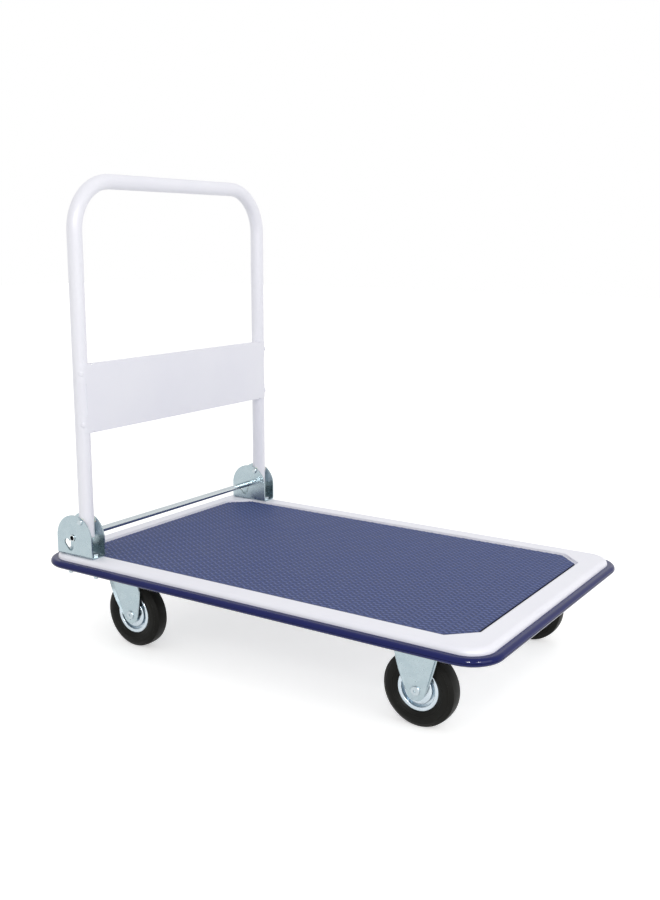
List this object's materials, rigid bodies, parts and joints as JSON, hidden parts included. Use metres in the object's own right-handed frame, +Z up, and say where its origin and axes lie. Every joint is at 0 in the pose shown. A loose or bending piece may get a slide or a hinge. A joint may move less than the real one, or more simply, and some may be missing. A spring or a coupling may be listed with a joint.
{
  "type": "folding platform cart",
  "caption": "Flat deck hand cart on fixed front wheels and swivel rear casters, with a tubular push handle that folds forward over the deck.",
  "frame": {"origin": "on the floor, under the centre of the deck", "axes": "+X forwards, away from the handle; +Y to the cart's left; +Z up"},
  "size_m": [0.917, 0.596, 0.856],
  "materials": {
    "white_paint": "powder coat, satin",
    "zinc": "bright zinc plate",
    "blue_rubber_mat": "matt, embossed",
    "navy_rubber_edge": "glossy",
    "black_tyre": "matt",
    "steel_fastener": "zinc plate",
    "spring_steel": "oiled",
    "nylon": "natural"
  },
  "bodies": {
    "chassis": {"deck_pan": "white_paint", "deck_bumper": "navy_rubber_edge", "deck_mat": "blue_rubber_mat", "channel_front": "white_paint", "channel_rear": "white_paint", "pivot_washers": "nylon", "bracket_bolts": "steel_fastener", "bracket_nuts": "steel_fastener", "caster_studs": "steel_fastener", "caster_nuts": "steel_fastener", "bracket_left": "zinc", "pivot_pin_left": "steel_fastener", "release_spring_left": "spring_steel", "rigid_fork_left": "zinc", "swivel_plate_left": "zinc", "kingpin_left": "steel_fastener", "bracket_right": "zinc", "pivot_pin_right": "steel_fastener", "release_spring_right": "spring_steel", "rigid_fork_right": "zinc", "swivel_plate_right": "zinc", "kingpin_right": "steel_fastener", "axle_front_left": "steel_fastener", "axle_front_right": "steel_fastener"},
    "handle": {"handle_tube": "white_paint", "handle_panel": "white_paint", "panel_rivets": "white_paint"},
    "release": {"release_bar": "zinc"},
    "swivel_left": {"swivel_fork_left": "zinc", "swivel_balls_left": "spring_steel", "axle_rear_left": "steel_fastener"},
    "swivel_right": {"swivel_fork_right": "zinc", "swivel_balls_right": "spring_steel", "axle_rear_right": "steel_fastener"},
    "wheel_front_left": {"tyre_front_left": "black_tyre", "rim_front_left": "zinc", "bush_front_left": "nylon"},
    "wheel_front_right": {"tyre_front_right": "black_tyre", "rim_front_right": "zinc", "bush_front_right": "nylon"},
    "wheel_rear_left": {"tyre_rear_left": "black_tyre", "rim_rear_left": "zinc", "bush_rear_left": "nylon"},
    "wheel_rear_right": {"tyre_rear_right": "black_tyre", "rim_rear_right": "zinc", "bush_rear_right": "nylon"}
  },
  "joints": [
    {"name": "handle_fold", "type": "hinge", "parent": "chassis", "child": "handle", "pos_m": [-0.363, 0, 0.236], "axis": [0, 1, 0], "range_deg": [0, 90]},
    {"name": "release_bar_slide", "type": "slide", "parent": "chassis", "child": "release", "axis": [-0.309, 0, -0.9511], "range_m": [0, 0.02], "stiffness_N_per_m": 400, "springref_m": -0.01, "deforming": ["release_spring_left", "release_spring_right"]},
    {"name": "swivel_turn_left", "type": "hinge", "parent": "chassis", "child": "swivel_left", "pos_m": [-0.312, 0.218, 0.15], "axis": [0, 0, 1], "continuous": true},
    {"name": "swivel_turn_right", "type": "hinge", "parent": "chassis", "child": "swivel_right", "pos_m": [-0.312, -0.218, 0.15], "axis": [0, 0, 1], "continuous": true},
    {"name": "wheel_roll_front_left", "type": "hinge", "parent": "chassis", "child": "wheel_front_left", "pos_m": [0.312, 0.218, 0.0625], "axis": [0, 1, 0], "continuous": true},
    {"name": "wheel_roll_front_right", "type": "hinge", "parent": "chassis", "child": "wheel_front_right", "pos_m": [0.312, -0.218, 0.0625], "axis": [0, 1, 0], "continuous": true},
    {"name": "wheel_roll_rear_left", "type": "hinge", "parent": "swivel_left", "child": "wheel_rear_left", "pos_m": [-0.2845, 0.218, 0.0625], "axis": [0, 1, 0], "continuous": true},
    {"name": "wheel_roll_rear_right", "type": "hinge", "parent": "swivel_right", "child": "wheel_rear_right", "pos_m": [-0.2845, -0.218, 0.0625], "axis": [0, 1, 0], "continuous": true}
  ]
}
